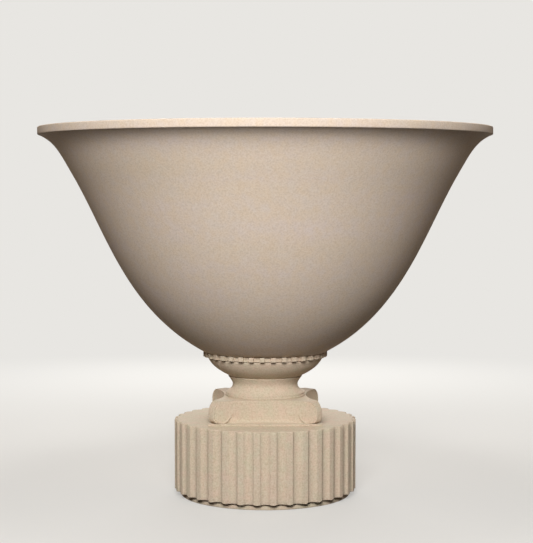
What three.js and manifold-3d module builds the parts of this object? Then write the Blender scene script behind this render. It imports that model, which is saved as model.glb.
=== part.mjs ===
// A footed urn of cast stone, stacked from six castings: a wide flared bowl, a rounded cup with a band
// of small teeth, a waisted neck, a four-cornered scroll capital on a thin slab, a fluted drum and a
// plain disc. Mortar beds lie between the castings and stainless pins hold them in line. A drain way
// runs down the middle from the bowl's floor to the underside.
// Millimetres, +Z up. The origin is the middle of the underside, and the front faces -Y.

import * as THREE from "three";
import { mergeVertices } from "three/addons/utils/BufferGeometryUtils.js";
import Module from "manifold-3d";

const wasm = await Module();
wasm.setup();

// Counts, turns and fineness
const bowlSides = 60;
const castingSides = 40;
const discSides = 48;
const bedSides = 20;
const pinSides = 10;
const drainSides = 20;
const fluteCount = 36;
const toothCount = 36;
const toothTurn = THREE.MathUtils.degToRad(-3.2);

// Drain way and mortar beds
const drainRadius = 12.5;
const thinBed = 1.0;
const bedRecess = 3.0;
const neckBed = 2.4;
const neckBedRecess = 4.3;
const cutOverrun = 2.0;

// Base disc
const discRadius = 172.8;
const discHeight = 10.6;
const discRound = 2.5;

// Fluted drum
const drumRadius = 185.2;
const drumHeight = 142.5;
const drumBevel = 1.2;
const fluteWidth = 20.0;
const fluteDepth = 6.0;

// Scroll capital: the slab under it, the hollow faces and the horns
const slabHalfSide = 113.0;
const slabHeight = 2.8;
const scrollHeight = 44.0;
const faceMiddle = 83.4;
const faceHollowRadius = 194.7;
const hornReach = 152.0;

// Volutes: a tapering spiral groove that curls in to a raised eye
const spiralStartRadius = 20.2;
const spiralEndRadius = 6.4;
const grooveStartWidth = 2.8;
const grooveEndWidth = 1.3;
const grooveDepth = 2.2;
const eyeRadius = 3.6;
const eyeRise = 1.0;
const spiralStartAngle = THREE.MathUtils.degToRad(-72);
const spiralEndAngle = THREE.MathUtils.degToRad(468);

// Neck: two fine rings with a notch between, a hollow and a top fillet
const neckHeight = 37.2;
const footRingRadius = 82.0;
const footRingHeight = 2.4;
const notchRadius = 78.3;
const notchHeight = 1.3;
const upperRingRadius = 80.4;
const upperRingHeight = 2.3;
const hollowFootRadius = 77.2;
const waistRadius = 66.3;
const waistHeight = 20.3;
const hollowTopRadius = 73.4;
const topFilletRadius = 74.8;
const topFilletHeight = 4.0;

// Cup with its band of teeth
const cupFootRadius = 75.8;
const cupTopRadius = 115.4;
const cupBellyRadius = 112.0;
const cupBellyHeight = 16.2;
const cupCurveHeight = 35.0;
const cupHeight = 47.0;
const toothedRadius = 126.6;
const toothedHeight = 8.1;
const toothWidth = 11.5;
const toothDepth = 6.5;

// Bowl, outside: two curves that meet part way up the side, then the lip. A curve's pull shares say how
// far it keeps its first and its last direction, each as a share of the straight line between its ends.
const bowlHeight = 454.9;
const bowlFootRadius = 126.0;
const bowlSideRadius = 389.6;
const bowlSideHeight = 362.3;
const lipRadius = 457.0;
const lipHeight = 15.8;
const lipRound = 2.3;
const bowlFootAngle = THREE.MathUtils.degToRad(61.7);
const bowlSideAngle = THREE.MathUtils.degToRad(29.95);
const flareAngle = THREE.MathUtils.degToRad(67.3);
const bowlSidePullShares = [0.388, 0.315];
const flarePullShares = [0.463, 0.346];

// Bowl, inside: its side stands off the outside's by a wall, and its point lies a little higher
const floorThickness = 38.0;
const floorFall = 2.0;
const floorRadius = 85.0;
const sideWall = 24.4;
const insideRise = 14.2;
const rimWidth = 30.0;
const rimRound = 5.0;
const floorAngle = THREE.MathUtils.degToRad(80);
const insideAngle = THREE.MathUtils.degToRad(30);
const rimAngle = THREE.MathUtils.degToRad(48);
const insidePullShares = [0.375, 0.341];
const rimPullShares = [0.366, 0.28];

// Setting pins: how far each reaches down and up from its bed, and the circle that it stands on
const pinRadius = 5.0;
const pinClearance = 0.3;
const pinEndGap = 1.0;
const basePinCircle = 110.0;
const basePinDown = 7.0;
const basePinUp = 31.0;
const drumPinCircle = 50.0;
const drumPinDown = 30.0;
const drumPinUp = 24.0;
const neckPinCircle = 38.0;
const neckPinDown = 20.0;
const neckPinUp = 13.0;
const cupPinCircle = 38.0;
const cupPinDown = 13.0;
const cupPinUp = 20.0;
const bowlPinCircle = 70.0;
const bowlPinDown = 24.0;
const bowlPinUp = 24.0;

// Levels of the stack, from the floor up
const drumLevel = discHeight + thinBed;
const capitalLevel = drumLevel + drumHeight + thinBed;
const neckLevel = capitalLevel + slabHeight + scrollHeight + thinBed;
const cupLevel = neckLevel + neckHeight + neckBed;
const bowlLevel = cupLevel + cupHeight + thinBed;

// The five joints: the top of the lower casting, the bed's thickness and the pins through it
const joints = {
  base: {
    level: discHeight, bed: thinBed, circle: basePinCircle,
    down: basePinDown, up: basePinUp, count: 3, turn: 0,
  },
  drum: {
    level: capitalLevel - thinBed, bed: thinBed, circle: drumPinCircle,
    down: drumPinDown, up: drumPinUp, count: 2, turn: 0,
  },
  capital: {
    level: neckLevel - thinBed, bed: thinBed, circle: neckPinCircle,
    down: neckPinDown, up: neckPinUp, count: 2, turn: Math.PI / 2,
  },
  neck: {
    level: cupLevel - neckBed, bed: neckBed, circle: cupPinCircle,
    down: cupPinDown, up: cupPinUp, count: 2, turn: 0,
  },
  bowl: {
    level: bowlLevel - thinBed, bed: thinBed, circle: bowlPinCircle,
    down: bowlPinDown, up: bowlPinUp, count: 3, turn: Math.PI / 6,
  },
};

// Turns a closed three.js geometry into a solid that can be cut and joined.
function solidOf(geometry) {
  geometry.deleteAttribute("normal");
  geometry.deleteAttribute("uv");
  const merged = mergeVertices(geometry);
  const corners = Array.from(merged.index.array);
  const kept = [];
  for (let i = 0; i < corners.length; i += 3) {
    const [a, b, c] = corners.slice(i, i + 3);
    if (a !== b && b !== c && c !== a) kept.push(a, b, c);
  }
  const mesh = new wasm.Mesh({
    numProp: 3,
    vertProperties: Float32Array.from(merged.attributes.position.array),
    triVerts: Uint32Array.from(kept),
  });
  return new wasm.Manifold(mesh);
}

// Turns a finished solid back into a three.js geometry.
function geometryOf(solid) {
  const mesh = solid.getMesh();
  const geometry = new THREE.BufferGeometry();
  geometry.setAttribute("position", new THREE.BufferAttribute(Float32Array.from(mesh.vertProperties), 3));
  geometry.setIndex(Array.from(mesh.triVerts));
  return geometry;
}

// Spins an outline of radius and height round the upright axis; the outline closes on itself.
function revolved(outline, sides) {
  const closed = [...outline, outline[0]];
  return solidOf(new THREE.LatheGeometry(closed, sides).rotateX(Math.PI / 2));
}

// An upright extrusion of an outline from one level to another.
function upright(shape, from, to, bevel = 0) {
  const options = { depth: to - from - 2 * bevel, bevelEnabled: false };
  if (bevel > 0) {
    Object.assign(options, { bevelEnabled: true, bevelSize: bevel, bevelThickness: bevel });
    Object.assign(options, { bevelOffset: -bevel, bevelSegments: 1 });
  }
  return solidOf(new THREE.ExtrudeGeometry(shape, options).translate(0, 0, from + bevel));
}

// An upright round bar from one level to another.
function bar(radius, sides, from, to, x = 0, y = 0) {
  const geometry = new THREE.CylinderGeometry(radius, radius, to - from, sides).rotateX(Math.PI / 2);
  return solidOf(geometry.translate(x, y, (from + to) / 2));
}

function point(radius, height) {
  return new THREE.Vector2(radius, height);
}

// Points of a quarter round between two points, its middle at the given corner or hollow.
function roundCorner(middle, radius, fromAngle, toAngle, steps) {
  return Array.from({ length: steps + 1 }, (_, i) => {
    const angle = fromAngle + ((toAngle - fromAngle) * i) / steps;
    return point(middle.x + radius * Math.cos(angle), middle.y + radius * Math.sin(angle));
  });
}

// A curve that leaves one point and reaches another at given angles from the upright.
function sweptCurve(start, startAngle, end, endAngle, pullShares, steps) {
  const straight = start.distanceTo(end);
  const leave = point(Math.sin(startAngle), Math.cos(startAngle)).multiplyScalar(pullShares[0] * straight);
  const arrive = point(Math.sin(endAngle), Math.cos(endAngle)).multiplyScalar(pullShares[1] * straight);
  const curve = new THREE.CubicBezierCurve(start, start.clone().add(leave), end.clone().sub(arrive), end);
  return curve.getPoints(steps);
}

function movedUp(outline, level) {
  return outline.map((p) => point(p.x, p.y + level));
}

// The places of one joint's pins.
function pinPlaces(joint) {
  return Array.from({ length: joint.count }, (_, i) => {
    const angle = joint.turn + (2 * Math.PI * i) / joint.count;
    return { x: joint.circle * Math.cos(angle), y: joint.circle * Math.sin(angle) };
  });
}

// Drills one joint's pin holes between two levels.
function drilled(solid, joint, from, to) {
  let result = solid;
  for (const { x, y } of pinPlaces(joint)) {
    result = result.subtract(bar(pinRadius + pinClearance, pinSides, from, to, x, y));
  }
  return result;
}

// A pin rests on the floor of its lower hole, and has room above its top end.
function drilledFromAbove(solid, joint) {
  return drilled(solid, joint, joint.level - joint.down, joint.level + cutOverrun);
}

function drilledFromBelow(solid, joint) {
  const foot = joint.level + joint.bed;
  return drilled(solid, joint, foot - cutOverrun, foot + joint.up + pinEndGap);
}

function makeDisc() {
  const quarter = Math.PI / 2;
  const lower = roundCorner(point(discRadius - discRound, discRound), discRound, -quarter, 0, 2);
  const upper = roundCorner(point(discRadius - discRound, discHeight - discRound), discRound, 0, quarter, 2);
  const outline = [point(drainRadius, 0), ...lower, ...upper, point(drainRadius, discHeight)];
  return drilledFromAbove(revolved(outline, discSides), joints.base);
}

// One flute's hollow, as a round arc that cuts the drum's edge in a chord of the flute's width.
function flutePoints(middleAngle) {
  const halfWidth = fluteWidth / 2;
  const arcRadius = (halfWidth ** 2 + fluteDepth ** 2) / (2 * fluteDepth);
  const chordDistance = Math.sqrt(drumRadius ** 2 - halfWidth ** 2);
  const arcMiddle = chordDistance - fluteDepth + arcRadius;
  const halfArc = Math.atan2(halfWidth, arcMiddle - chordDistance);
  const steps = 5;
  return Array.from({ length: steps + 1 }, (_, i) => {
    const turn = halfArc * ((2 * i) / steps - 1);
    const out = arcMiddle - arcRadius * Math.cos(turn);
    const across = arcRadius * Math.sin(turn);
    return point(out, across).rotateAround(point(0, 0), middleAngle);
  });
}

function makeDrum() {
  const outline = [];
  for (let flute = 0; flute < fluteCount; flute += 1) {
    outline.push(...flutePoints(-Math.PI / 2 + (2 * Math.PI * flute) / fluteCount));
  }
  const fluted = upright(new THREE.Shape(outline), drumLevel, drumLevel + drumHeight, drumBevel);
  const drain = bar(drainRadius, drainSides, drumLevel - cutOverrun, drumLevel + drumHeight + cutOverrun);
  return drilledFromAbove(drilledFromBelow(fluted.subtract(drain), joints.base), joints.drum);
}

// Where a capital's hollow face, moved out by a given amount, is cut by a line square to the diagonal.
// The face is a round hollow whose middle lies straight out in front of it.
function faceCorner(moved, diagonal) {
  const radius = faceHollowRadius - moved;
  const rest = Math.SQRT2 * diagonal - faceMiddle - faceHollowRadius;
  return (rest + Math.sqrt(2 * radius ** 2 - rest ** 2)) / 2;
}

// The capital seen from above: four hollow faces and four narrow horn tips.
function capitalPlan(moved) {
  const radius = faceHollowRadius - moved;
  const halfTurn = Math.asin(faceCorner(moved, hornReach) / radius);
  const steps = 14;
  const outline = [];
  for (let side = 0; side < 4; side += 1) {
    for (let i = 0; i <= steps; i += 1) {
      const turn = halfTurn * ((2 * i) / steps - 1);
      const onFace = point(radius * Math.sin(turn), radius * Math.cos(turn) - faceMiddle - faceHollowRadius);
      outline.push(onFace.rotateAround(point(0, 0), (side * Math.PI) / 2));
    }
  }
  return new THREE.Shape(outline);
}

// A bar with round ends along one diagonal: it gives two horns their rolled ends.
function rolledBar(scrollFoot, turn) {
  const rollRadius = scrollHeight / 2;
  const straight = hornReach - rollRadius;
  const shape = new THREE.Shape();
  shape.absarc(straight, 0, rollRadius, -Math.PI / 2, Math.PI / 2);
  shape.absarc(-straight, 0, rollRadius, Math.PI / 2, (3 * Math.PI) / 2);
  const options = { depth: 2 * hornReach, bevelEnabled: false, curveSegments: 10 };
  const geometry = new THREE.ExtrudeGeometry(shape, options).translate(0, 0, -hornReach);
  geometry.rotateX(Math.PI / 2).rotateZ(turn);
  return solidOf(geometry.translate(0, 0, scrollFoot + rollRadius));
}

// A volute's groove seen from the front. It starts low on the inner side and curls in to the eye.
function spiralShape() {
  const steps = 26;
  const outer = [];
  const inner = [];
  for (let i = 0; i <= steps; i += 1) {
    const along = i / steps;
    const angle = spiralStartAngle + (spiralEndAngle - spiralStartAngle) * along;
    const middle = spiralStartRadius * (spiralEndRadius / spiralStartRadius) ** along;
    const halfWidth = THREE.MathUtils.lerp(grooveStartWidth, grooveEndWidth, along) / 2;
    outer.push(point(Math.cos(angle), Math.sin(angle)).multiplyScalar(middle + halfWidth));
    inner.push(point(Math.cos(angle), Math.sin(angle)).multiplyScalar(middle - halfWidth));
  }
  return new THREE.Shape([...outer, ...inner.reverse()]);
}

function eyeShape() {
  const steps = 12;
  const around = Array.from({ length: steps }, (_, i) => (2 * Math.PI * i) / steps);
  return new THREE.Shape(around.map((a) => point(eyeRadius * Math.cos(a), eyeRadius * Math.sin(a))));
}

// Runs a shape drawn at a volute's middle into every volute of the capital, straight through the face.
function atEveryVolute(shape, scrollFoot) {
  const across = faceCorner(0, hornReach - scrollHeight / 2);
  const made = [];
  for (let side = 0; side < 4; side += 1) {
    for (const hand of [-1, 1]) {
      const options = { depth: hornReach - faceMiddle, bevelEnabled: false };
      const geometry = new THREE.ExtrudeGeometry(shape, options).rotateX(Math.PI / 2);
      geometry.translate(-across, -faceMiddle, scrollFoot + scrollHeight / 2);
      let solid = solidOf(geometry);
      if (hand > 0) solid = solid.mirror([1, 0, 0]);
      made.push(solid.rotate([0, 0, 90 * side]));
    }
  }
  return made;
}

function makeCapital() {
  const scrollFoot = capitalLevel + slabHeight;
  const top = scrollFoot + scrollHeight;
  const slabShape = new THREE.Shape([
    point(-slabHalfSide, -slabHalfSide),
    point(slabHalfSide, -slabHalfSide),
    point(slabHalfSide, slabHalfSide),
    point(-slabHalfSide, slabHalfSide),
  ]);
  const slab = upright(slabShape, capitalLevel, scrollFoot);
  const rolled = rolledBar(scrollFoot, Math.PI / 4).intersect(rolledBar(scrollFoot, -Math.PI / 4));
  const core = upright(capitalPlan(-grooveDepth), scrollFoot - cutOverrun, top + cutOverrun);
  const raised = upright(capitalPlan(eyeRise), scrollFoot, top);
  let scroll = rolled.intersect(upright(capitalPlan(0), scrollFoot, top));
  for (const groove of atEveryVolute(spiralShape(), scrollFoot)) {
    scroll = scroll.subtract(groove.subtract(core));
  }
  for (const eye of atEveryVolute(eyeShape(), scrollFoot)) {
    scroll = scroll.add(eye.intersect(raised));
  }
  const drain = bar(drainRadius, drainSides, capitalLevel - cutOverrun, top + cutOverrun);
  const whole = slab.add(scroll).subtract(drain);
  return drilledFromAbove(drilledFromBelow(whole, joints.drum), joints.capital);
}

// The neck's hollow: a short lower curve and a longer upper one that meet at the waist.
function neckHollow() {
  const foot = footRingHeight + notchHeight + upperRingHeight;
  const top = neckHeight - topFilletHeight;
  const inward = hollowFootRadius - waistRadius;
  const below = waistHeight - foot;
  const lowest = (3 * Math.PI) / 2;
  const lower = new THREE.EllipseCurve(hollowFootRadius, waistHeight, inward, below, lowest, Math.PI, true);
  const rise = top - waistHeight;
  const swell = hollowTopRadius - waistRadius;
  const arcRadius = (rise ** 2 + swell ** 2) / (2 * swell);
  const middle = waistRadius + arcRadius;
  const upperEnd = Math.PI - Math.asin(rise / arcRadius);
  const upper = new THREE.EllipseCurve(middle, waistHeight, arcRadius, arcRadius, Math.PI, upperEnd, true);
  return [...lower.getPoints(4), ...upper.getPoints(3).slice(1)];
}

function makeNeck() {
  const notchLevel = footRingHeight + notchHeight;
  const upperRingLevel = notchLevel + upperRingHeight;
  const outline = [
    point(drainRadius, 0),
    point(footRingRadius, 0),
    point(footRingRadius, footRingHeight),
    point(notchRadius, footRingHeight),
    point(notchRadius, notchLevel),
    point(upperRingRadius, notchLevel),
    point(upperRingRadius, upperRingLevel),
    ...neckHollow(),
    point(topFilletRadius, neckHeight - topFilletHeight),
    point(topFilletRadius, neckHeight),
    point(drainRadius, neckHeight),
  ];
  const neck = revolved(movedUp(outline, neckLevel), castingSides);
  return drilledFromAbove(drilledFromBelow(neck, joints.capital), joints.neck);
}

// The toothed band seen from above: square teeth that stand out from a plain root.
function toothedShape() {
  const rootRadius = toothedRadius - toothDepth;
  const outline = [];
  for (let tooth = 0; tooth < toothCount; tooth += 1) {
    const middle = -Math.PI / 2 + toothTurn + (2 * Math.PI * tooth) / toothCount;
    const atTip = Math.asin(toothWidth / (2 * toothedRadius));
    const atRoot = Math.asin(toothWidth / (2 * rootRadius));
    outline.push(point(rootRadius, 0).rotateAround(point(0, 0), middle - atRoot));
    outline.push(point(toothedRadius, 0).rotateAround(point(0, 0), middle - atTip));
    outline.push(point(toothedRadius, 0).rotateAround(point(0, 0), middle + atTip));
    outline.push(point(rootRadius, 0).rotateAround(point(0, 0), middle + atRoot));
  }
  return new THREE.Shape(outline);
}

function makeCup() {
  const bandFoot = cupHeight - toothedHeight;
  const side = new THREE.QuadraticBezierCurve(
    point(cupFootRadius, 0),
    point(cupBellyRadius, cupBellyHeight),
    point(cupTopRadius, cupCurveHeight),
  );
  const outline = [
    point(drainRadius, 0),
    ...side.getPoints(6),
    point(cupTopRadius, cupHeight),
    point(drainRadius, cupHeight),
  ];
  const body = revolved(movedUp(outline, cupLevel), castingSides);
  const band = upright(toothedShape(), cupLevel + bandFoot, cupLevel + cupHeight);
  const drain = bar(drainRadius + cutOverrun, drainSides, cupLevel, cupLevel + cupHeight + cutOverrun);
  const cup = body.add(band.subtract(drain));
  return drilledFromAbove(drilledFromBelow(cup, joints.neck), joints.bowl);
}

function bowlOutside() {
  const foot = point(bowlFootRadius, 0);
  const side = point(bowlSideRadius, bowlSideHeight);
  const flareTop = point(lipRadius - lipRound, bowlHeight - lipHeight);
  const quarter = Math.PI / 2;
  const lipLow = point(lipRadius - lipRound, bowlHeight - lipHeight + lipRound);
  const lipHigh = point(lipRadius - lipRound, bowlHeight - lipRound);
  return [
    ...sweptCurve(foot, bowlFootAngle, side, bowlSideAngle, bowlSidePullShares, 9),
    ...sweptCurve(side, bowlSideAngle, flareTop, flareAngle, flarePullShares, 5).slice(1),
    ...roundCorner(lipLow, lipRound, -quarter, 0, 2).slice(1),
    ...roundCorner(lipHigh, lipRound, 0, quarter, 2),
  ];
}

function bowlInside() {
  const rimInner = lipRadius - rimWidth;
  const rimLow = point(rimInner - rimRound, bowlHeight - rimRound);
  const side = point(bowlSideRadius - sideWall, bowlSideHeight + insideRise);
  const floor = point(floorRadius, floorThickness);
  return [
    point(rimInner, bowlHeight),
    ...sweptCurve(side, insideAngle, rimLow, rimAngle, rimPullShares, 3).reverse(),
    ...sweptCurve(floor, floorAngle, side, insideAngle, insidePullShares, 7).reverse().slice(1),
  ];
}

function makeBowl() {
  const outline = [
    point(drainRadius, 0),
    ...bowlOutside(),
    ...bowlInside(),
    point(drainRadius, floorThickness - floorFall),
  ];
  return drilledFromBelow(revolved(movedUp(outline, bowlLevel), bowlSides), joints.bowl);
}

// A round mortar bed with the drain way through it and holes for the pins.
function roundBed(joint, radius) {
  const top = joint.level + joint.bed;
  const outline = [
    point(drainRadius, joint.level),
    point(radius, joint.level),
    point(radius, top),
    point(drainRadius, top),
  ];
  return drilled(revolved(outline, bedSides), joint, joint.level - cutOverrun, top + cutOverrun);
}

function squareBed(joint, halfSide) {
  const top = joint.level + joint.bed;
  const shape = new THREE.Shape([
    point(-halfSide, -halfSide),
    point(halfSide, -halfSide),
    point(halfSide, halfSide),
    point(-halfSide, halfSide),
  ]);
  const plate = upright(shape, joint.level, top);
  const drain = bar(drainRadius, drainSides, joint.level - cutOverrun, top + cutOverrun);
  return drilled(plate.subtract(drain), joint, joint.level - cutOverrun, top + cutOverrun);
}

function stone(color) {
  return new THREE.MeshStandardMaterial({ color, roughness: 0.92, metalness: 0 });
}

function mortar() {
  return new THREE.MeshStandardMaterial({ color: 0x8f8169, roughness: 0.96, metalness: 0 });
}

function stainless() {
  return new THREE.MeshStandardMaterial({ color: 0xb9bcbe, roughness: 0.35, metalness: 1 });
}

const urn = new THREE.Group();

function place(name, solid, material) {
  const mesh = new THREE.Mesh(geometryOf(solid), material);
  mesh.name = name;
  urn.add(mesh);
}

place("base_disc", makeDisc(), stone(0xb8a488));
place("drum", makeDrum(), stone(0xc6b39a));
place("capital", makeCapital(), stone(0xd4c2a8));
place("neck", makeNeck(), stone(0xcdba9c));
place("cup", makeCup(), stone(0xc2af93));
place("bowl", makeBowl(), stone(0xc8b59b));

place("bed_base", roundBed(joints.base, discRadius - bedRecess), mortar());
place("bed_drum", squareBed(joints.drum, slabHalfSide - bedRecess), mortar());
place("bed_capital", roundBed(joints.capital, footRingRadius - bedRecess), mortar());
place("bed_neck", roundBed(joints.neck, topFilletRadius - neckBedRecess), mortar());
place("bed_cup", roundBed(joints.bowl, toothedRadius - toothDepth - bedRecess), mortar());

for (const [jointName, joint] of Object.entries(joints)) {
  pinPlaces(joint).forEach(({ x, y }, i) => {
    const pin = bar(pinRadius, pinSides, joint.level - joint.down, joint.level + joint.bed + joint.up, x, y);
    place(`pin_${jointName}_${i + 1}`, pin, stainless());
  });
}

export default urn;
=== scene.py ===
import math

import bmesh
import bpy
from mathutils import Matrix, Vector, geometry, noise


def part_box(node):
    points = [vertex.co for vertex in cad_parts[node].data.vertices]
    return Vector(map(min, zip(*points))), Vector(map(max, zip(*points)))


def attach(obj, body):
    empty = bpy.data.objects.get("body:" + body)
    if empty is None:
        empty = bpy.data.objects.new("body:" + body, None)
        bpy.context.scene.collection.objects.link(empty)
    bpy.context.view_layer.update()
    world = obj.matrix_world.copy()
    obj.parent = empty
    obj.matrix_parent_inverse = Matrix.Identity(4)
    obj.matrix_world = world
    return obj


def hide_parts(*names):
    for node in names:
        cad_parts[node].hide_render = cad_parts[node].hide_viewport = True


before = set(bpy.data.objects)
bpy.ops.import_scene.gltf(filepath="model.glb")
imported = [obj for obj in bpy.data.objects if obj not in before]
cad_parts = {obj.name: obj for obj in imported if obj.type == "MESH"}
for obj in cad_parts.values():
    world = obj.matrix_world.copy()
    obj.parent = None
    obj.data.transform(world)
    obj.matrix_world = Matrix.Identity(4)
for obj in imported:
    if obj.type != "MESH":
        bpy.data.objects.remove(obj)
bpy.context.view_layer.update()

mm = 0.001                 # pieces are modelled in millimetres from their own foot, then set on their level
fullTurn = 2 * math.pi


# Camera: the photograph's height, distance and slight downward look

cameraSizes = {
    "distance": 3001.6,     # from the urn's axis, millimetres
    "height": 628.2,
    "aside": 2.6,
    "pitchDown": 3.32,      # degrees
    "lens": 99.63,
    "sensorWidth": 36.0,
}


def makeCamera():
    cameraData = bpy.data.cameras.new("camera")
    cameraData.sensor_fit = "HORIZONTAL"
    cameraData.sensor_width = cameraSizes["sensorWidth"]
    cameraData.lens = cameraSizes["lens"]
    camera = bpy.data.objects.new("camera", cameraData)
    bpy.context.scene.collection.objects.link(camera)
    tilt = Matrix.Rotation(math.radians(90 - cameraSizes["pitchDown"]), 4, "X")
    place = Vector((cameraSizes["aside"], -cameraSizes["distance"], cameraSizes["height"])) * mm
    camera.matrix_world = Matrix.Translation(place) @ tilt
    bpy.context.scene.camera = camera


makeCamera()
print("camera made")


# Materials

def linearColor(hexText):
    channels = [int(hexText[i:i + 2], 16) / 255 for i in (0, 2, 4)]
    return [c / 12.92 if c <= 0.04045 else ((c + 0.055) / 1.055) ** 2.4 for c in channels] + [1.0]


# Adds a node, sets its properties, and fills its inputs with values or with links from other nodes' outputs
def addNode(tree, kind, inputs=None, **settings):
    node = tree.nodes.new(kind)
    for name, value in settings.items():
        setattr(node, name, value)
    for name, value in (inputs or {}).items():
        if isinstance(value, bpy.types.NodeSocket):
            tree.links.new(value, node.inputs[name])
        else:
            node.inputs[name].default_value = value
    return node


def newMaterial(name):
    material = bpy.data.materials.new(name)
    material.use_nodes = True
    tree = material.node_tree
    tree.nodes.clear()
    return material, tree


# Cast stone: crushed buff limestone and white cement, rammed into a mould in layers and rubbed down, which
# leaves a matt, sandy face with fine light and dark grains, soft cloudy patches and faint level bands
stoneLook = {
    "roughness": 0.94,
    "specular": 0.25,
    "levelSqueeze": 0.044,  # level tones are about 23 times as long as they are high
}

# Noise that shows between low and high, sizes in millimetres. Real grains are about 1 mm: they are drawn
# larger, so that they show in the render.
stoneTones = {
    "cloud": {"size": 90.0, "detail": 3.0, "rough": 0.5, "low": 0.3, "high": 0.7, "level": False},
    "band": {"size": 22.0, "detail": 2.0, "rough": 0.5, "low": 0.3, "high": 0.7, "level": True},
    "patch": {"size": 42.0, "detail": 3.0, "rough": 0.6, "low": 0.35, "high": 0.65, "level": True},
    "mottle": {"size": 20.0, "detail": 3.0, "rough": 0.6, "low": 0.35, "high": 0.65, "level": False},
    "darkGrain": {"size": 3.0, "detail": 1.0, "rough": 0.5, "low": 0.52, "high": 0.68, "level": False},
    "paleGrain": {"size": 3.0, "detail": 1.0, "rough": 0.5, "low": 0.48, "high": 0.32, "level": False},
}
stoneRelief = {
    "dimples": {"size": 14.0, "detail": 2.0, "rough": 0.5, "depth": 0.18},
    "grit": {"size": 2.0, "detail": 2.0, "rough": 0.6, "depth": 0.08},
}


# A palette gives each tone's colour and the share of the body that it may cover
def makeCastStone(name, palette):
    material, tree = newMaterial(name)
    place = addNode(tree, "ShaderNodeTexCoord").outputs["Object"]
    squeeze = stoneLook["levelSqueeze"]
    layers = addNode(tree, "ShaderNodeMapping", {"Vector": place, "Scale": (squeeze, squeeze, 1.0)})
    color = linearColor(palette["body"])
    for tone, look in stoneTones.items():
        toneHex, share = palette[tone]
        pattern = addNode(tree, "ShaderNodeTexNoise", {
            "Vector": layers.outputs["Vector"] if look["level"] else place,
            "Scale": 1 / (look["size"] * mm), "Detail": look["detail"], "Roughness": look["rough"],
        })
        cover = addNode(tree, "ShaderNodeMapRange", {
            "Value": pattern.outputs["Fac"], 1: look["low"], 2: look["high"], 4: share,
        })
        color = addNode(tree, "ShaderNodeMix", {
            0: cover.outputs["Result"], 6: color, 7: linearColor(toneHex),
        }, data_type="RGBA").outputs[2]
    normal = {}
    for look in stoneRelief.values():
        pattern = addNode(tree, "ShaderNodeTexNoise", {
            "Vector": place, "Scale": 1 / (look["size"] * mm),
            "Detail": look["detail"], "Roughness": look["rough"],
        })
        bump = addNode(tree, "ShaderNodeBump", {
            "Height": pattern.outputs["Fac"], "Distance": look["depth"] * mm, **normal,
        })
        normal = {"Normal": bump.outputs["Normal"]}
    shader = addNode(tree, "ShaderNodeBsdfPrincipled", {
        "Base Color": color, "Roughness": stoneLook["roughness"], "Specular IOR Level": stoneLook["specular"],
        "Diffuse Roughness": palette["sandiness"], **normal,
    })
    addNode(tree, "ShaderNodeOutputMaterial", {"Surface": shader.outputs["BSDF"]})
    return material


# Sandiness says how far a face throws light back the way it came: the bowl is rubbed smoother
bowlStone = makeCastStone("rammedCastStoneBowl", {
    "sandiness": 0.05,
    "body": "d4c3b9",
    "cloud": ("d1c2b3", 1.0),
    "band": ("d5c5bb", 0.4),
    "patch": ("d2c1ab", 0.6),
    "mottle": ("d6c0a6", 0.6),
    "darkGrain": ("a39077", 0.2),
    "paleGrain": ("e9e0d5", 0.2),
})
baseStone = makeCastStone("rammedCastStoneBase", {
    "sandiness": 0.25,
    "body": "cdbfa9",
    "cloud": ("ccbaa4", 1.0),
    "band": ("cec2aa", 0.3),
    "patch": ("c8c0a4", 0.6),
    "mottle": ("d8baa7", 0.5),
    "darkGrain": ("a38d69", 0.23),
    "paleGrain": ("e4daca", 0.23),
})


# Lime mortar: sand and lime in the castings' own colour, pressed into the joint and struck flush
mortarLook = {"lime": "b8a88e", "sand": "d4c4a9", "roughness": 0.97, "sandSize": 1.5, "sandDepth": 0.3}


def makeMortar():
    material, tree = newMaterial("limeMortar")
    place = addNode(tree, "ShaderNodeTexCoord").outputs["Object"]
    sand = addNode(tree, "ShaderNodeTexNoise", {
        "Vector": place, "Scale": 1 / (mortarLook["sandSize"] * mm), "Detail": 3.0,
    }).outputs["Fac"]
    color = addNode(tree, "ShaderNodeMix", {
        0: sand, 6: linearColor(mortarLook["lime"]), 7: linearColor(mortarLook["sand"]),
    }, data_type="RGBA")
    bump = addNode(tree, "ShaderNodeBump", {"Height": sand, "Distance": mortarLook["sandDepth"] * mm})
    shader = addNode(tree, "ShaderNodeBsdfPrincipled", {
        "Base Color": color.outputs[2], "Roughness": mortarLook["roughness"], "Specular IOR Level": 0.2,
        "Normal": bump.outputs["Normal"],
    })
    addNode(tree, "ShaderNodeOutputMaterial", {"Surface": shader.outputs["BSDF"]})
    return material


# Stainless steel bar, cropped from drawn stock: fine lengthways drawing marks
steelLook = {
    "color": "c9cbcc",
    "smooth": 0.24,         # its roughness runs from this
    "rough": 0.42,          # to this
    "markSize": 0.4,
    "markSqueeze": 0.04,    # a mark is 10 mm long
    "markDepth": 0.01,
}


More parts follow.
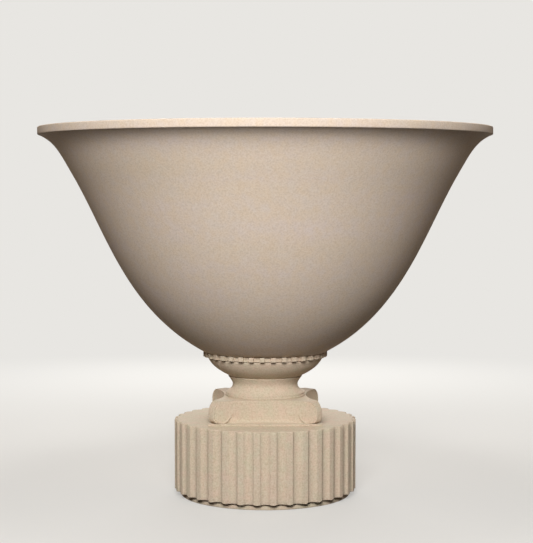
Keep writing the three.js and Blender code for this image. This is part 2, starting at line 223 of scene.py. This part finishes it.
def makeStainless():
    material, tree = newMaterial("drawnStainless")
    place = addNode(tree, "ShaderNodeTexCoord").outputs["Object"]
    squeeze = (1.0, 1.0, steelLook["markSqueeze"])
    lengthways = addNode(tree, "ShaderNodeMapping", {"Vector": place, "Scale": squeeze})
    marks = addNode(tree, "ShaderNodeTexNoise", {
        "Vector": lengthways.outputs["Vector"], "Scale": 1 / (steelLook["markSize"] * mm), "Detail": 2.0,
    }).outputs["Fac"]
    rough = addNode(tree, "ShaderNodeMapRange", {
        "Value": marks, 3: steelLook["smooth"], 4: steelLook["rough"],
    })
    bump = addNode(tree, "ShaderNodeBump", {"Height": marks, "Distance": steelLook["markDepth"] * mm})
    shader = addNode(tree, "ShaderNodeBsdfPrincipled", {
        "Base Color": linearColor(steelLook["color"]), "Metallic": 1.0, "Roughness": rough.outputs["Result"],
        "Normal": bump.outputs["Normal"],
    })
    addNode(tree, "ShaderNodeOutputMaterial", {"Surface": shader.outputs["BSDF"]})
    return material


mortar = makeMortar()
stainless = makeStainless()
print("materials made")


# Shaping

# A closed wire in the XZ plane from (radius, height) or (radius, height, rounding) points
def wireFrom(bm, points):
    verts = [bm.verts.new((p[0], 0, p[1])) for p in points]
    for a, b in zip(verts, verts[1:] + verts[:1]):
        bm.edges.new((a, b))
    for vert, p in zip(verts, points):
        if len(p) > 2:
            bmesh.ops.bevel(bm, geom=[vert], offset=p[2], offset_type="OFFSET", segments=4, profile=0.5,
                            affect="VERTICES", material=-1)


def softenEdges(bm, edges, offset):
    bmesh.ops.bevel(bm, geom=edges, offset=offset, offset_type="OFFSET", segments=3, profile=0.5,
                    affect="EDGES", material=-1)


def spinRound(bm, steps):
    bmesh.ops.spin(bm, geom=bm.verts[:] + bm.edges[:], cent=(0, 0, 0), axis=(0, 0, 1), dvec=(0, 0, 0),
                   angle=fullTurn, steps=steps, use_merge=True, use_normal_flip=False, use_duplicate=False)
    bmesh.ops.remove_doubles(bm, verts=bm.verts[:], dist=0.001)


# A curve that leaves one point and reaches another at given angles from the upright, without its first point
def sweptCurve(start, startAngle, startPull, end, endAngle, endPull, steps):
    leave = Vector((math.sin(math.radians(startAngle)), math.cos(math.radians(startAngle)))) * startPull
    arrive = Vector((math.sin(math.radians(endAngle)), math.cos(math.radians(endAngle)))) * endPull
    first, last = Vector(start), Vector(end)
    found = geometry.interpolate_bezier(first, first + leave, last - arrive, last, steps + 1)
    return [tuple(p) for p in found][1:]


unevenness = {"broadSize": 140.0, "broadDepth": 0.35, "closeSize": 16.0, "closeDepth": 0.12}


# A rubbed casting is never dead true: its faces wander a little
def wander(bm):
    bm.normal_update()
    shifts = []
    for vert in bm.verts:
        broad = noise.noise(vert.co / unevenness["broadSize"]) * unevenness["broadDepth"]
        close = noise.noise(vert.co / unevenness["closeSize"]) * unevenness["closeDepth"]
        shifts.append(vert.normal * (broad + close))
    for vert, shift in zip(bm.verts, shifts):
        vert.co += shift


def makePiece(name, bm, material, node, sharpFrom=38):
    bmesh.ops.scale(bm, vec=(mm, mm, mm), verts=bm.verts[:])
    bmesh.ops.translate(bm, vec=(0, 0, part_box(node)[0].z), verts=bm.verts[:])
    bmesh.ops.recalc_face_normals(bm, faces=bm.faces[:])
    mesh = bpy.data.meshes.new(name)
    bm.to_mesh(mesh)
    bm.free()
    mesh.polygons.foreach_set("use_smooth", [True] * len(mesh.polygons))
    mesh.set_sharp_from_angle(angle=math.radians(sharpFrom))
    mesh.materials.append(material)
    piece = bpy.data.objects.new(name, mesh)
    bpy.context.scene.collection.objects.link(piece)
    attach(piece, "root")
    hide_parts(node)


def heightOf(node):
    low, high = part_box(node)
    return (high.z - low.z) / mm


drainRadius = 12.5
touching = 0.01            # points closer than this count as one, millimetres


# Base disc

discSizes = {"radius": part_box("base_disc")[1].x / mm, "rounding": 1.5, "steps": 192}


def makeDisc():
    bm = bmesh.new()
    radius, height, soft = discSizes["radius"], heightOf("base_disc"), discSizes["rounding"]
    wireFrom(bm, [(drainRadius, 0), (radius, 0, soft), (radius, height, soft), (drainRadius, height)])
    spinRound(bm, discSizes["steps"])
    wander(bm)
    makePiece("disc_casting", bm, baseStone, "base_disc")


makeDisc()
print("disc made")


# Fluted drum

drumSizes = {
    "radius": 185.2,
    "fluteCount": 36,
    "fluteWidth": 20.0,
    "fluteDepth": 6.0,
    "fluteSteps": 12,
    "filletSteps": 4,
    "arrisAngle": math.radians(25),     # flute edges turn further than this
    "arrisRounding": 0.9,
    "edgeRounding": 1.6,
    "innerRingRadius": 165.0,
    "rows": 16,
}


# Extrudes a ring of edges and moves its new vertices with the given rule
def extrudeRing(bm, edges, rule):
    grown = bmesh.ops.extrude_edge_only(bm, edges=edges)["geom"]
    for vert in (g for g in grown if isinstance(g, bmesh.types.BMVert)):
        vert.co = rule(vert.co)
    newEdges = [g for g in grown if isinstance(g, bmesh.types.BMEdge)]
    return [e for e in newEdges if len(e.link_faces) == 1]


def onCircle(co, radius, height):
    flat = Vector((co.x, co.y, 0)).normalized() * radius
    return Vector((flat.x, flat.y, height))


def makeDrum():
    sizes = drumSizes
    height = heightOf("drum")
    halfWidth, depth = sizes["fluteWidth"] / 2, sizes["fluteDepth"]
    hollowRadius = (halfWidth ** 2 + depth ** 2) / (2 * depth)
    chord = math.sqrt(sizes["radius"] ** 2 - halfWidth ** 2)
    hollowMiddle = (chord - depth + hollowRadius, 0, 0)
    hollowArc = 2 * math.atan2(halfWidth, hollowRadius - depth)
    pitch = fullTurn / sizes["fluteCount"]
    halfFlute = math.asin(halfWidth / sizes["radius"])
    bm = bmesh.new()
    start = bm.verts.new(onCircle(Vector((1, 0, 0)), sizes["radius"], 0))
    bmesh.ops.rotate(bm, verts=[start], cent=(0, 0, 0), matrix=Matrix.Rotation(halfFlute - pitch, 3, "Z"))
    fillet = bmesh.ops.spin(bm, geom=[start], cent=(0, 0, 0), axis=(0, 0, 1), angle=pitch - 2 * halfFlute,
                            steps=sizes["filletSteps"], use_merge=False, use_duplicate=False)
    turn = [g for g in fillet["geom_last"] if isinstance(g, bmesh.types.BMVert)]
    bmesh.ops.spin(bm, geom=turn, cent=hollowMiddle, axis=(0, 0, -1), angle=hollowArc,
                   steps=sizes["fluteSteps"], use_merge=False, use_duplicate=False)
    bmesh.ops.spin(bm, geom=bm.verts[:] + bm.edges[:], cent=(0, 0, 0), axis=(0, 0, 1), angle=fullTurn,
                   steps=sizes["fluteCount"], use_merge=False, use_duplicate=True)
    bmesh.ops.remove_doubles(bm, verts=bm.verts[:], dist=touching)
    extrudeRing(bm, bm.edges[:], lambda co: Vector((co.x, co.y, height)))
    bm.normal_update()
    uprights = [e for e in bm.edges if abs(e.verts[0].co.z - e.verts[1].co.z) > height / 2]
    arrises = [e for e in uprights if e.is_manifold and abs(e.calc_face_angle(0)) > sizes["arrisAngle"]]
    softenEdges(bm, arrises, sizes["arrisRounding"])
    top = [e for e in bm.edges if all(abs(v.co.z - height) < touching for v in e.verts)]
    bottom = [e for e in bm.edges if all(abs(v.co.z) < touching for v in e.verts)]
    extrudeRing(bm, top, lambda co: onCircle(co, sizes["innerRingRadius"], height))
    extrudeRing(bm, bottom, lambda co: onCircle(co, sizes["innerRingRadius"], 0))
    softenEdges(bm, top + bottom, sizes["edgeRounding"])
    uprights = [e for e in bm.edges if abs(e.verts[0].co.z - e.verts[1].co.z) > height / 2]
    bmesh.ops.subdivide_edges(bm, edges=uprights, cuts=sizes["rows"], use_grid_fill=True)
    topRing = extrudeRing(bm, [e for e in bm.edges if e.is_boundary and e.verts[0].co.z > height / 2],
                          lambda co: onCircle(co, drainRadius, height))
    bottomRing = extrudeRing(bm, [e for e in bm.edges if e.is_boundary and e.verts[0].co.z < height / 2],
                             lambda co: onCircle(co, drainRadius, 0))
    bmesh.ops.bridge_loops(bm, edges=topRing + bottomRing)
    bmesh.ops.rotate(bm, verts=bm.verts[:], cent=(0, 0, 0), matrix=Matrix.Rotation(-math.pi / 2, 3, "Z"))
    bmesh.ops.recalc_face_normals(bm, faces=bm.faces[:])
    wander(bm)
    makePiece("drum_casting", bm, baseStone, "drum")


makeDrum()
print("drum made")


# Scroll capital

capitalSizes = {
    "slabHalfSide": 113.0,
    "slabHeight": 2.8,
    "slabRounding": 0.7,    # on its top edge
    "rollFullness": 3.5,    # how square the roll's underside is: 2 is a true round
    "footCove": 7.0,        # the hollow that joins a face to the slab
    "coveFade": 14.0,       # how far from a volute it grows to its full depth
    "faceMiddle": 83.4,
    "hollowRadius": 194.7,
    "hornReach": 152.0,
    "midReach": 58.0,       # where the plain middle of a face ends and the fine mesh of its volutes starts
    "midColumns": 20,
    "voluteColumns": 72,
    "cornerRounding": 1.2,
    "tipColumns": 8,
    "endRows": 9,
    "endHeight": 2.2,
    "rows": 72,
}

voluteSizes = {
    "middleOut": 86.2,
    "middleHeight": 18.3,
    "startRadius": 19.4,
    "endRadius": 6.0,
    "startAngle": -72.0,
    "endAngle": 468.0,
    "clearFrom": -60.0,     # between these angles the volute's edge stands clear of the face
    "clearTo": -24.0,
    "clearFade": 26.0,
    "stepDepth": 2.8,
    "stepWidth": 1.1,
    "stepReach": 9.0,
    "beadRise": 0.8,
    "beadWidth": 3.2,
    "curlDepth": 0.18,      # the rubbed-down spiral inside
    "curlWidth": 3.6,
    "curlStart": 1 / 6,     # shares of its length over which it fades in and out
    "curlEnd": 1 / 12,
    "eyeRadius": 3.8,
    "eyeRise": 0.5,
    "ribbonIn": 3.8,        # the groove between a face and the ribbon round the horn
    "ribbonHalfWidth": 1.5,
    "ribbonDepth": 1.7,
    "ribbonFade": 0.45,     # the share of its depth that it loses higher up
    "ribbonFadeFrom": 0.45, # shares of the roll's radius
    "ribbonFadeOver": 0.35,
}


def eased(share):
    share = min(1.0, max(0.0, share))
    return share * share * (3 - 2 * share)


# How deep the volute is cut at a place seen from its middle, x towards the middle of the face
def voluteDepth(x, z):
    sizes = voluteSizes
    radius = math.hypot(x, z)
    angle = math.degrees(math.atan2(z, x))
    past = radius - sizes["startRadius"]
    clear = 1 - eased(max(sizes["clearFrom"] - angle, angle - sizes["clearTo"], 0.0) / sizes["clearFade"])
    if past > 0:
        tail = math.exp(-max(0.0, past - sizes["stepWidth"]) / sizes["stepReach"])
        return sizes["stepDepth"] * clear * eased(past / sizes["stepWidth"]) * tail
    halfBead = sizes["beadWidth"] / 2
    depth = -sizes["beadRise"] * clear * math.exp(-((past + halfBead) / halfBead) ** 2)
    for turn in (-1, 0, 1, 2):
        along = (angle + 360 * turn - sizes["startAngle"]) / (sizes["endAngle"] - sizes["startAngle"])
        if not 0 <= along <= 1:
            continue
        middle = sizes["startRadius"] * (sizes["endRadius"] / sizes["startRadius"]) ** along
        away = abs(radius - middle) / (sizes["curlWidth"] / 2)
        ends = min(1.0, along / sizes["curlStart"], (1 - along) / sizes["curlEnd"])
        if away < 1:
            depth += sizes["curlDepth"] * ends * (0.5 + 0.5 * math.cos(math.pi * away))
    if radius < sizes["eyeRadius"]:
        depth -= sizes["eyeRise"] * math.sqrt(1 - (radius / sizes["eyeRadius"]) ** 2)
    return depth


# The groove beside the ribbon is deepest low down, where the horn turns under
def ribbonDepth(fromCorner, z, rollRadius):
    sizes = voluteSizes
    away = abs(fromCorner - sizes["ribbonIn"]) / sizes["ribbonHalfWidth"]
    if away >= 1:
        return 0.0
    fading = eased((z / rollRadius - sizes["ribbonFadeFrom"]) / sizes["ribbonFadeOver"])
    depth = sizes["ribbonDepth"] * (1 - sizes["ribbonFade"] * fading)
    return depth * (0.5 + 0.5 * math.cos(math.pi * away))


# Where a hollow face is cut by a line square to the diagonal at the given reach
def faceCorner(reach):
    sizes = capitalSizes
    rest = math.sqrt(2) * reach - sizes["faceMiddle"] - sizes["hollowRadius"]
    return (rest + math.sqrt(2 * sizes["hollowRadius"] ** 2 - rest ** 2)) / 2


def facePoint(x, moved=0.0):
    sizes = capitalSizes
    radius = sizes["hollowRadius"] + moved
    angle = math.asin(x / sizes["hollowRadius"])
    hollowMiddle = sizes["faceMiddle"] + sizes["hollowRadius"]
    return Vector((radius * math.sin(angle), radius * math.cos(angle) - hollowMiddle))


# One level of the capital: a face from left to right and the tip of the horn beyond it, four times
def capitalLevel(z, height):
    sizes = capitalSizes
    rollRadius = height / 2
    power = sizes["rollFullness"] if z < rollRadius else 2.0
    bulge = max(0.0, 1 - abs(z / rollRadius - 1) ** power) ** (1 / power)
    reach = sizes["hornReach"] - rollRadius + rollRadius * bulge
    corner = faceCorner(reach)
    cove = sizes["footCove"]
    coved = cove - math.sqrt(cove ** 2 - (cove - z) ** 2) if z < cove else 0.0
    soft = sizes["cornerRounding"]
    edge = height - z
    drawnIn = soft - math.sqrt(soft ** 2 - (soft - edge) ** 2) if edge < soft else 0.0
    steps = sizes["voluteColumns"]
    xs = [-corner + (corner - sizes["midReach"]) * i / steps for i in range(steps)]
    xs += [sizes["midReach"] * (2 * i / sizes["midColumns"] - 1) for i in range(sizes["midColumns"])]
    xs += [sizes["midReach"] + (corner - sizes["midReach"]) * i / steps for i in range(steps + 1)]
    side = []
    for x in xs:
        toMiddle = voluteSizes["middleOut"] - abs(x)
        fromCorner = corner - abs(x)
        depth = voluteDepth(toMiddle, z - voluteSizes["middleHeight"])
        depth += ribbonDepth(fromCorner, z, rollRadius)
        depth -= coved * eased((toMiddle - voluteSizes["startRadius"]) / sizes["coveFade"])
        rounding = soft - math.sqrt(soft ** 2 - (soft - fromCorner) ** 2) if fromCorner < soft else 0.0
        side.append(facePoint(x, depth + max(drawnIn, rounding)))
    first, last = side[-1], Vector((-side[0].y, side[0].x))
    tips = sizes["tipColumns"]
    side += [first.lerp(last, i / tips) for i in range(1, tips)]
    level = []
    for quarter in range(4):
        turn = Matrix.Rotation(quarter * math.pi / 2, 2)
        level += [turn @ p for p in side]
    return level


def capitalHeights(height):
    sizes = capitalSizes
    rollRadius = height / 2
    endTurn = math.acos(1 - sizes["endHeight"] / rollRadius)
    ends = [rollRadius * (1 - math.cos(endTurn * i / sizes["endRows"])) for i in range(sizes["endRows"])]
    middle = height - 2 * sizes["endHeight"]
    between = [sizes["endHeight"] + middle * i / sizes["rows"] for i in range(sizes["rows"] + 1)]
    return ends + between + [height - z for z in reversed(ends)]


def onSquare(co, halfSide, height):
    grow = halfSide / max(abs(co.x), abs(co.y))
    return Vector((co.x * grow, co.y * grow, height))


def makeCapital():
    sizes = capitalSizes
    scrollHeight = heightOf("capital") - sizes["slabHeight"]
    bm = bmesh.new()
    heights = capitalHeights(scrollHeight)
    start = [bm.verts.new((p.x, p.y, sizes["slabHeight"])) for p in capitalLevel(0.0, scrollHeight)]
    lowest = [bm.edges.new((a, b)) for a, b in zip(start, start[1:] + start[:1])]
    ring, ringVerts = lowest, start
    for z in heights[1:]:
        grown = bmesh.ops.extrude_edge_only(bm, edges=ring)["geom"]
        newVerts = [g for g in grown if isinstance(g, bmesh.types.BMVert)]
        byPlace = {(round(v.co.x, 4), round(v.co.y, 4)): v for v in newVerts}
        ordered = [byPlace[(round(v.co.x, 4), round(v.co.y, 4))] for v in ringVerts]
        for vert, p in zip(ordered, capitalLevel(z, scrollHeight)):
            vert.co = (p.x, p.y, sizes["slabHeight"] + z)
        ring = [bm.edges.get((a, b)) for a, b in zip(ordered, ordered[1:] + ordered[:1])]
        ringVerts = ordered
    full = sizes["slabHeight"] + scrollHeight
    topHole = extrudeRing(bm, ring, lambda co: onCircle(co, drainRadius, full))
    slabTop = extrudeRing(bm, lowest, lambda co: onSquare(co, sizes["slabHalfSide"], sizes["slabHeight"]))
    slabFoot = extrudeRing(bm, slabTop, lambda co: Vector((co.x, co.y, 0)))
    bottomHole = extrudeRing(bm, slabFoot, lambda co: onCircle(co, drainRadius, 0))
    bmesh.ops.bridge_loops(bm, edges=topHole + bottomHole)
    edge = sizes["slabHalfSide"] - touching
    slabEdges = [e for e in bm.edges if all(max(abs(v.co.x), abs(v.co.y)) > edge for v in e.verts)
                 and all(abs(v.co.z - sizes["slabHeight"]) < touching for v in e.verts)]
    softenEdges(bm, slabEdges, sizes["slabRounding"])
    bmesh.ops.recalc_face_normals(bm, faces=bm.faces[:])
    wander(bm)
    makePiece("capital_casting", bm, baseStone, "capital", sharpFrom=60)


makeCapital()
print("capital made")


# Waisted neck

neckSizes = {
    "footRing": (82.0, 2.7),
    "notch": (80.6, 1.0),
    "upperRing": (80.8, 3.0),
    "hollowFoot": (79.9, -60.0, 8.0),   # radius, lean of the curve in degrees, how far it keeps to it
    "waist": (66.3, 22.3, 8.0),         # radius, height, how far the curve keeps upright below it
    "upperWaistPull": 4.8,              # and above it
    "hollowTop": (74.4, 36.0, 6.0),     # as at the foot
    "topFillet": (75.2, 1.9),
    "topRise": 2.2,         # the neck stands this much above its CAD solid, into the thick joint
    "rounding": 0.9,
    "lowerCurveSteps": 14,
    "upperCurveSteps": 12,
    "steps": 192,
}


def makeNeck():
    sizes = neckSizes
    height, soft = heightOf("neck") + sizes["topRise"], sizes["rounding"]
    ringTop = sizes["footRing"][1]
    notchTop = ringTop + sizes["notch"][1]
    upperTop = notchTop + sizes["upperRing"][1]
    filletFoot = height - sizes["topFillet"][1]
    points = [(drainRadius, 0), (sizes["footRing"][0], 0), (sizes["footRing"][0], ringTop, soft)]
    points += [(sizes["notch"][0], ringTop), (sizes["notch"][0], notchTop)]
    points += [(sizes["upperRing"][0], notchTop, soft), (sizes["upperRing"][0], upperTop, soft)]
    footRadius, footLean, footPull = sizes["hollowFoot"]
    waistRadius, waistHeight, waistPull = sizes["waist"]
    topRadius, topLean, topPull = sizes["hollowTop"]
    foot, waist, top = (footRadius, upperTop), (waistRadius, waistHeight), (topRadius, filletFoot)
    points += [foot] + sweptCurve(foot, footLean, footPull, waist, 0.0, waistPull, sizes["lowerCurveSteps"])
    points += sweptCurve(waist, 0.0, sizes["upperWaistPull"], top, topLean, topPull,
                         sizes["upperCurveSteps"])
    points += [(sizes["topFillet"][0], filletFoot, soft), (sizes["topFillet"][0], height, soft)]
    points += [(drainRadius, height)]
    bm = bmesh.new()
    wireFrom(bm, points)
    spinRound(bm, sizes["steps"])
    wander(bm)
    makePiece("neck_casting", bm, baseStone, "neck")


makeNeck()
print("neck made")


# Cup with its band of teeth

cupSizes = {
    "footRadius": 74.2,
    "footRise": 1.0,        # above its CAD solid's foot
    "topRise": 2.0,
    "topRadius": 116.5,
    "belly": (107.6, 16.0),
    "curveHeight": 36.0,
    "curvePoints": 24,
    "bandRadius": 119.6,
    "bandHeight": 9.3,
    "toothDepth": 7.0,
    "toothCount": 36,
    "toothColumns": 8,
    "gapColumns": 11,
    "toothTurn": -2.6,
    "rimAngle": math.radians(60),       # a tooth's rim turns further than this
    "toothRounding": 0.7,
}


def makeCup():
    sizes = cupSizes
    height = heightOf("cup") + sizes["topRise"]
    foot = Vector((sizes["footRadius"], sizes["footRise"]))
    belly, top = Vector(sizes["belly"]), Vector((sizes["topRadius"], sizes["curveHeight"]))
    side = geometry.interpolate_bezier(foot, foot.lerp(belly, 2 / 3), top.lerp(belly, 2 / 3), top,
                                       sizes["curvePoints"])
    bandFoot = height - sizes["bandHeight"]
    points = [(drainRadius, sizes["footRise"])] + [tuple(p) for p in side]
    points += [(sizes["topRadius"], bandFoot), (sizes["bandRadius"], bandFoot), (sizes["bandRadius"], height)]
    points += [(drainRadius, height)]
    bm = bmesh.new()
    wireFrom(bm, points)
    pitchColumns = sizes["toothColumns"] + sizes["gapColumns"]
    columns = sizes["toothCount"] * pitchColumns
    spinRound(bm, columns)
    toothFaces = []
    for face in bm.faces:
        onBand = all(abs(math.hypot(v.co.x, v.co.y) - sizes["bandRadius"]) < touching for v in face.verts)
        middle = face.calc_center_median()
        column = int((math.atan2(middle.y, middle.x) % fullTurn) / fullTurn * columns)
        if onBand and column % pitchColumns < sizes["toothColumns"]:
            toothFaces.append(face)
    grown = bmesh.ops.extrude_face_region(bm, geom=toothFaces)["geom"]
    bmesh.ops.delete(bm, geom=toothFaces, context="FACES")
    tips = [g for g in grown if isinstance(g, bmesh.types.BMVert)]
    for vert in tips:
        vert.co = onCircle(vert.co, sizes["bandRadius"] + sizes["toothDepth"], vert.co.z)
    bm.normal_update()
    tipSet = set(tips)
    turned = [e for e in bm.edges if abs(e.calc_face_angle(0)) > sizes["rimAngle"]]
    rims = [e for e in turned if tipSet.issuperset(e.verts)]
    softenEdges(bm, rims, sizes["toothRounding"])
    turn = math.radians(sizes["toothTurn"] - 90) - math.pi / columns * sizes["toothColumns"]
    bmesh.ops.rotate(bm, verts=bm.verts[:], cent=(0, 0, 0), matrix=Matrix.Rotation(turn, 3, "Z"))
    bmesh.ops.recalc_face_normals(bm, faces=bm.faces[:])
    wander(bm)
    makePiece("cup_casting", bm, baseStone, "cup")


makeCup()
print("cup made")


# Bowl

bowlSizes = {
    "footRadius": 125.6,
    "footRise": 2.0,        # above its CAD solid's foot
    "footAngle": 61.7,
    "footPull": 177.0,
    "side": (389.6, 362.3),
    "sideAngle": 29.95,
    "sidePullBelow": 141.2,
    "sidePullAbove": 46.3,
    "flarePull": 34.6,
    "flareAngle": 67.3,
    "lipHeight": 15.8,
    "lipRounding": 2.3,
    "floor": (85.0, 38.0),
    "floorFall": 2.0,
    "floorAngle": 80.0,
    "floorPull": 165.0,
    "inside": (365.2, 376.5),
    "insideAngle": 30.0,
    "insidePullBelow": 150.0,
    "insidePullAbove": 34.0,
    "rimWidth": 30.0,
    "rimRounding": 5.0,
    "rimAngle": 48.0,
    "rimPull": 26.0,
    "sideSteps": 40,
    "flareSteps": 16,
    "insideSteps": 36,
    "rimSteps": 12,
    "steps": 256,
}


def makeBowl():
    sizes = bowlSizes
    height, lipRadius = heightOf("bowl"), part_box("bowl")[1].x / mm
    foot = (sizes["footRadius"], sizes["footRise"])
    lipFoot = height - sizes["lipHeight"]
    flareTop = (lipRadius - sizes["lipRounding"], lipFoot)
    soft = sizes["lipRounding"]
    points = [(drainRadius, sizes["footRise"]), foot]
    points += sweptCurve(foot, sizes["footAngle"], sizes["footPull"], sizes["side"], sizes["sideAngle"],
                         sizes["sidePullBelow"], sizes["sideSteps"])
    points += sweptCurve(sizes["side"], sizes["sideAngle"], sizes["sidePullAbove"], flareTop,
                         sizes["flareAngle"], sizes["flarePull"], sizes["flareSteps"])
    points += [(lipRadius, lipFoot, soft), (lipRadius, height, soft)]
    rimInner = lipRadius - sizes["rimWidth"]
    points += [(rimInner, height)]
    rimLow = (rimInner - sizes["rimRounding"], height - sizes["rimRounding"])
    floor = sizes["floor"]
    inside = [floor] + sweptCurve(floor, sizes["floorAngle"], sizes["floorPull"], sizes["inside"],
                                  sizes["insideAngle"], sizes["insidePullBelow"], sizes["insideSteps"])
    inside += sweptCurve(sizes["inside"], sizes["insideAngle"], sizes["insidePullAbove"], rimLow,
                         sizes["rimAngle"], sizes["rimPull"], sizes["rimSteps"])
    points += reversed(inside)
    points += [(drainRadius, floor[1] - sizes["floorFall"])]
    bm = bmesh.new()
    wireFrom(bm, points)
    spinRound(bm, sizes["steps"])
    wander(bm)
    makePiece("bowl_casting", bm, bowlStone, "bowl")


makeBowl()
print("bowl made")


# Mortar beds, struck flush with the castings above and below

# How far a bed reaches from the axis, and how much higher than its CAD solid its two faces lie
bedSizes = {
    "bed_base": {"reach": 170.2, "footRise": 0.0, "topRise": 0.0, "square": False},
    "bed_capital": {"reach": 81.7, "footRise": 0.0, "topRise": 0.0, "square": False},
    "bed_neck": {"reach": 72.9, "footRise": 2.2, "topRise": 1.0, "square": False},
    "bed_cup": {"reach": 119.4, "footRise": 2.0, "topRise": 2.0, "square": False},
    "bed_drum": {"reach": 112.6, "footRise": 0.0, "topRise": 0.0, "square": True},
}
bedSteps = 96


def makeBed(node, sizes):
    foot, top, reach = sizes["footRise"], heightOf(node) + sizes["topRise"], sizes["reach"]
    bm = bmesh.new()
    wireFrom(bm, [(drainRadius, foot), (reach, foot), (reach, top), (drainRadius, top)])
    spinRound(bm, bedSteps)
    if sizes["square"]:
        for vert in bm.verts:
            if math.hypot(vert.co.x, vert.co.y) > reach - 1:
                vert.co = onSquare(vert.co, reach, vert.co.z)
    makePiece(node + "_pointed", bm, mortar, node)


for nodeName, bedSize in bedSizes.items():
    makeBed(nodeName, bedSize)
print("mortar beds made")


# The pins are hidden in the stone and keep their solids

for nodeName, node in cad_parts.items():
    if nodeName.startswith("pin_"):
        node.data.materials.clear()
        node.data.materials.append(stainless)


# Floor, backdrop and light

# Rays from the camera, and those that a bright pin or a glass would send, see the pale paper itself. Light
# that bounces on to the stone meets a darker paper, so that undersides stay in shade.
def paleToSight(tree):
    ray = addNode(tree, "ShaderNodeLightPath")
    both = addNode(tree, "ShaderNodeMath", {
        0: ray.outputs["Is Camera Ray"], 1: ray.outputs["Is Glossy Ray"],
    }, operation="MAXIMUM")
    return addNode(tree, "ShaderNodeMath", {
        0: both.outputs[0], 1: ray.outputs["Is Transmission Ray"],
    }, operation="MAXIMUM").outputs[0]


paperLook = {
    "halfSide": 60.0,       # metres here
    "litReach": 0.6,        # the lamps light the paper up to here, and further out it shows by itself
    "farReach": 2.6,
    "nearGlow": 0.53,
    "shown": "e8e6e2",
    "lit": "a5a39f",
    "unlit": "000000",
    "bounce": "241c14",
    "bounceRoughness": 0.9,
    "worldLight": "ffd9b0",
    "worldStrength": 0.01,
}


def makeFloor():
    bm = bmesh.new()
    bmesh.ops.create_grid(bm, x_segments=1, y_segments=1, size=paperLook["halfSide"])
    mesh = bpy.data.meshes.new("floor")
    bm.to_mesh(mesh)
    bm.free()
    floor = bpy.data.objects.new("floor", mesh)
    bpy.context.scene.collection.objects.link(floor)
    material, tree = newMaterial("palePaper")
    place = addNode(tree, "ShaderNodeTexCoord").outputs["Object"]
    away = addNode(tree, "ShaderNodeVectorMath", {0: place}, operation="LENGTH").outputs["Value"]
    farShare = addNode(tree, "ShaderNodeMapRange", {
        "Value": away, 1: paperLook["litReach"], 2: paperLook["farReach"],
    }, interpolation_type="SMOOTHSTEP").outputs["Result"]
    glow = addNode(tree, "ShaderNodeMapRange", {"Value": farShare, 3: paperLook["nearGlow"], 4: 1.0})
    litColor = addNode(tree, "ShaderNodeMix", {
        0: farShare, 6: linearColor(paperLook["lit"]), 7: linearColor(paperLook["unlit"]),
    }, data_type="RGBA").outputs[2]
    dark = addNode(tree, "ShaderNodeBsdfPrincipled", {
        "Base Color": linearColor(paperLook["bounce"]), "Roughness": paperLook["bounceRoughness"],
    })
    pale = addNode(tree, "ShaderNodeBsdfPrincipled", {
        "Base Color": litColor, "Specular IOR Level": 0.0,
        "Emission Color": linearColor(paperLook["shown"]), "Emission Strength": glow.outputs["Result"],
    })
    shown = addNode(tree, "ShaderNodeMixShader", {
        0: paleToSight(tree), 1: dark.outputs["BSDF"], 2: pale.outputs["BSDF"],
    })
    addNode(tree, "ShaderNodeOutputMaterial", {"Surface": shown.outputs["Shader"]})
    mesh.materials.append(material)


def makeWorld():
    world = bpy.data.worlds.new("world")
    bpy.context.scene.world = world
    world.use_nodes = True
    tree = world.node_tree
    tree.nodes.clear()
    light = addNode(tree, "ShaderNodeBackground", {
        "Color": linearColor(paperLook["worldLight"]), "Strength": paperLook["worldStrength"],
    })
    shown = addNode(tree, "ShaderNodeBackground", {"Color": linearColor(paperLook["shown"])})
    mixed = addNode(tree, "ShaderNodeMixShader", {
        0: paleToSight(tree), 1: light.outputs["Background"], 2: shown.outputs["Background"],
    })
    addNode(tree, "ShaderNodeOutputWorld", {"Surface": mixed.outputs["Shader"]})


# One lamp from the front, one from behind, two faint ones at the sides and one over the open bowl
lamps = {
    "frontLamp": {"place": (-0.12, -2.6, 1.54), "size": (1.0, 0.8), "power": 84.0, "color": "ffffff"},
    "backLamp": {"place": (0.0, 2.7, 0.7), "size": (2.0, 0.7), "power": 74.0, "color": "ffffff"},
    "leftFill": {"place": (-2.5, 1.1, 0.8), "size": (0.8, 0.8), "power": 5.0, "color": "ffdcb4"},
    "rightFill": {"place": (2.5, 1.1, 0.8), "size": (0.8, 0.8), "power": 4.5, "color": "ffdcb4"},
    "bowlFill": {"place": (0.0, 0.0, 1.9), "size": (0.6, 0.6), "power": 12.0, "color": "ffffff"},
}
lampAim = Vector((0, 0, 0.4))


def makeLamp(name, lamp):
    data = bpy.data.lights.new(name, "AREA")
    data.shape = "RECTANGLE"
    data.size, data.size_y = lamp["size"]
    data.energy = lamp["power"]
    data.color = linearColor(lamp["color"])[:3]
    obj = bpy.data.objects.new(name, data)
    bpy.context.scene.collection.objects.link(obj)
    obj.location = lamp["place"]
    look = lampAim - obj.location
    obj.rotation_euler = look.to_track_quat("-Z", "Y").to_euler()


makeFloor()
makeWorld()
for lampName, lamp in lamps.items():
    makeLamp(lampName, lamp)
bpy.context.scene.view_settings.view_transform = "Standard"
print("floor and light made")
